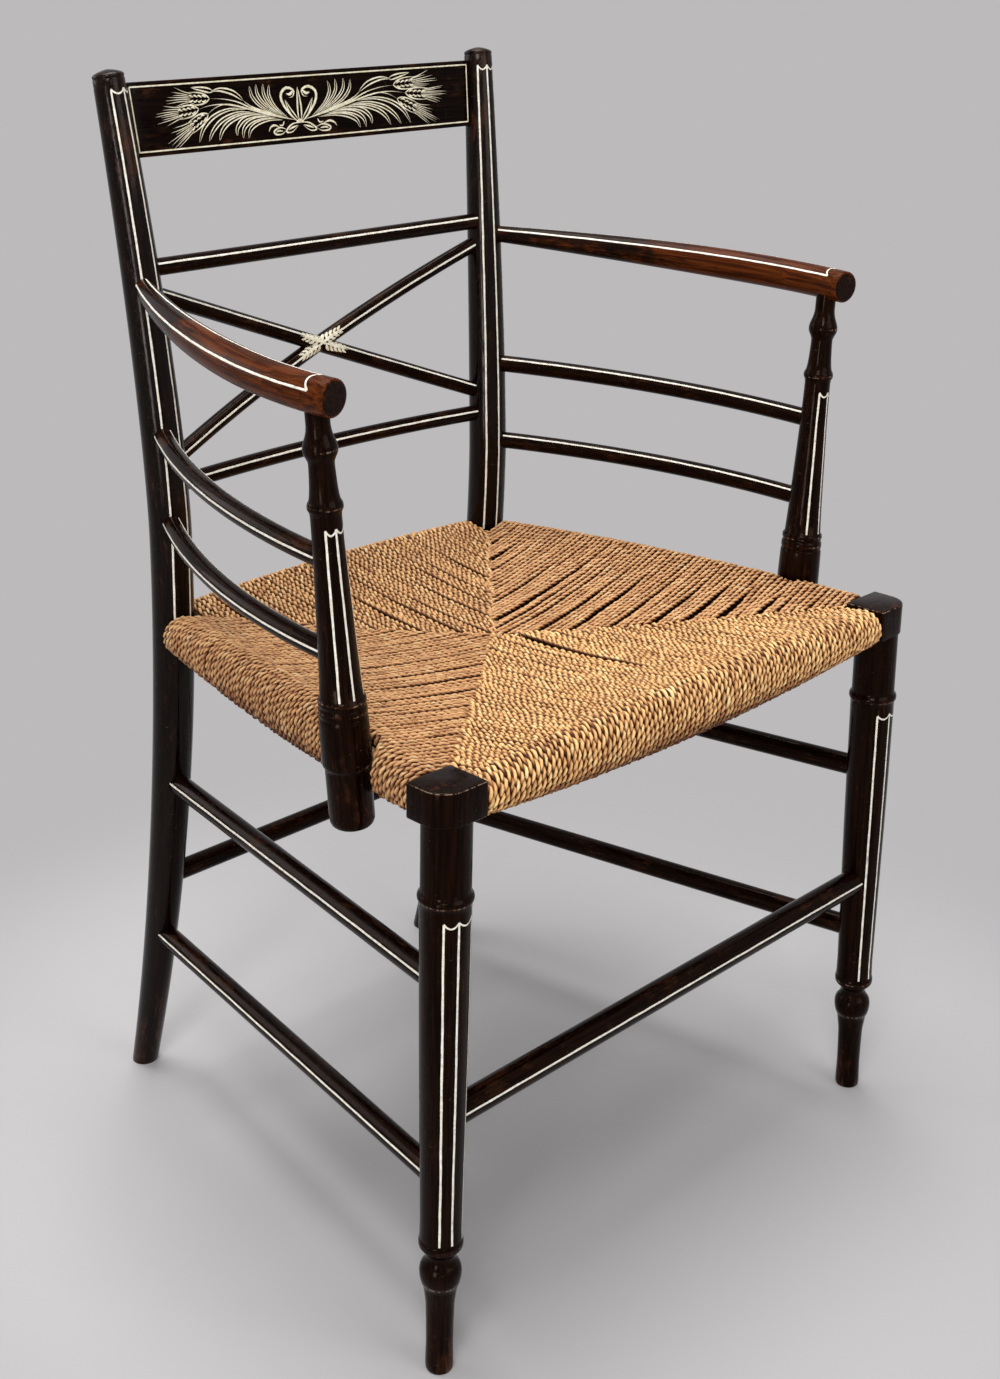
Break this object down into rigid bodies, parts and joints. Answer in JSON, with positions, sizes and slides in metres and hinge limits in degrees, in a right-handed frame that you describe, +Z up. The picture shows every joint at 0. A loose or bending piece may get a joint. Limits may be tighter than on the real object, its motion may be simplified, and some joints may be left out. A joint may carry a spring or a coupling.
{
  "type": "open armchair",
  "caption": "Open armchair with a turned, ebonised wood frame, X back under a flat crest rail, bowed arms and a dished rush seat.",
  "frame": {"origin": "on the floor, under the middle of the chair's outline", "axes": "+X to the right seen from the front, +Y to the back so that the sitter faces -Y, +Z up"},
  "size_m": [0.556, 0.4724, 0.8402],
  "materials": {
    "ebonised_beech": "ebonised, satin, worn",
    "worn_beech": "ebonised, rubbed back to brown",
    "plain_beech": "bare, under the rush",
    "screw_steel": "dull",
    "rush": "matt, twisted cords"
  },
  "bodies": {
    "root": {"left_back_post": "ebonised_beech", "right_back_post": "ebonised_beech", "left_front_leg": "ebonised_beech", "right_front_leg": "ebonised_beech", "left_upper_stretcher": "ebonised_beech", "left_lower_stretcher": "ebonised_beech", "right_upper_stretcher": "ebonised_beech", "right_lower_stretcher": "ebonised_beech", "front_stretcher": "ebonised_beech", "rear_stretcher": "ebonised_beech", "left_arm_support": "ebonised_beech", "right_arm_support": "ebonised_beech", "left_upper_spindle": "ebonised_beech", "left_lower_spindle": "ebonised_beech", "right_upper_spindle": "ebonised_beech", "right_lower_spindle": "ebonised_beech", "upper_back_rail": "ebonised_beech", "lower_back_rail": "ebonised_beech", "rising_cross_rod": "ebonised_beech", "falling_cross_rod": "ebonised_beech", "crest_rail": "ebonised_beech", "left_arm": "worn_beech", "right_arm": "worn_beech", "front_seat_rail": "plain_beech", "rear_seat_rail": "plain_beech", "left_seat_rail": "plain_beech", "right_seat_rail": "plain_beech", "left_arm_support_screw": "screw_steel", "right_arm_support_screw": "screw_steel", "rush_seat": "rush"}
  },
  "joints": []
}
